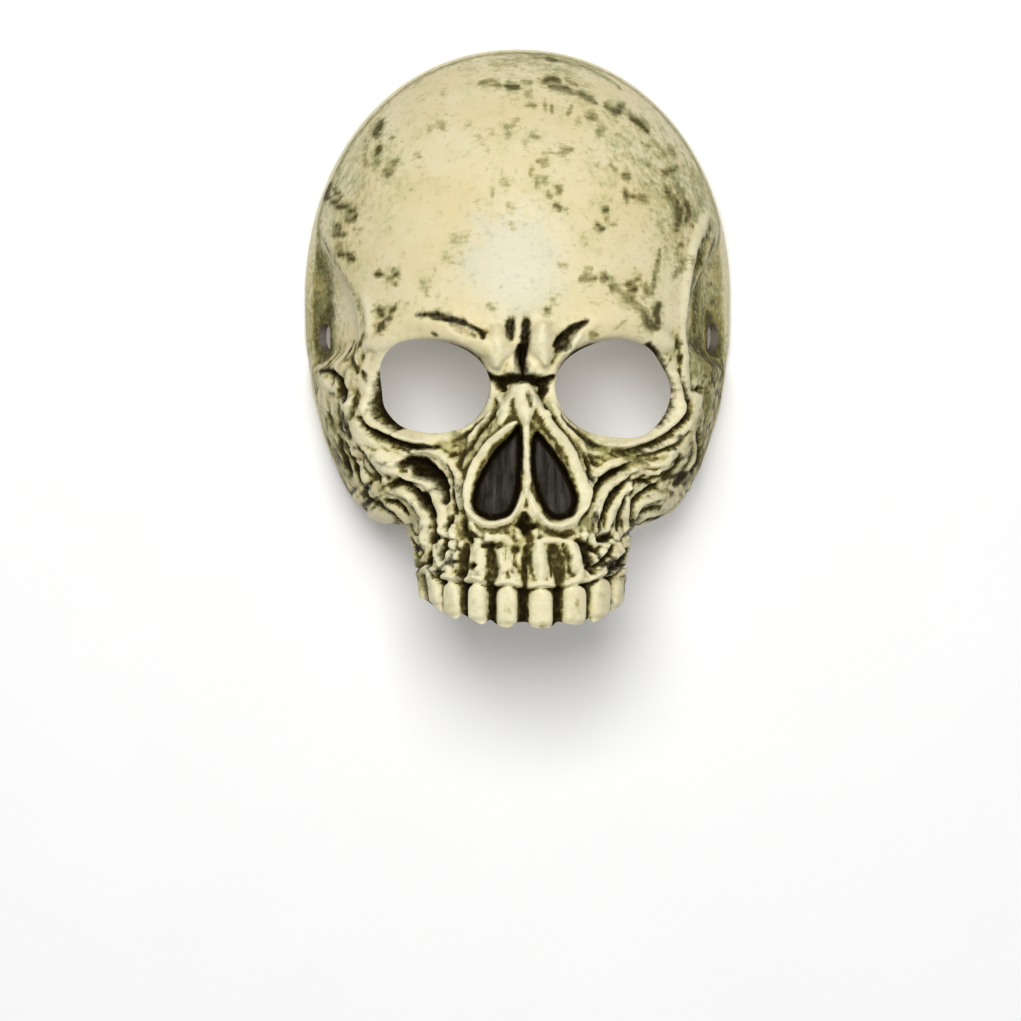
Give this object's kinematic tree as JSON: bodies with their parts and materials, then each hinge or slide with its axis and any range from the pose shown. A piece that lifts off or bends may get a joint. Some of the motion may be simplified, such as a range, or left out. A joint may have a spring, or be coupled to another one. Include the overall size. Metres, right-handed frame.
{
  "type": "skull mask",
  "caption": "Half-face skull mask: a thin moulded shell with eye openings, hollow cheeks, an upper row of teeth and a strap slot in each temple.",
  "frame": {"origin": "middle of the bounding box of the mask, on the plane of its rear rim", "axes": "+Z out of the mask the way its face looks, +Y towards the forehead, +X to the right of someone who faces the mask"},
  "size_m": [0.157, 0.2129, 0.0977],
  "materials": {
    "painted_bone": "hand-painted pale bone with a dark wash in its recesses, satin"
  },
  "bodies": {
    "root": {"mask_shell": "painted_bone"}
  },
  "joints": []
}
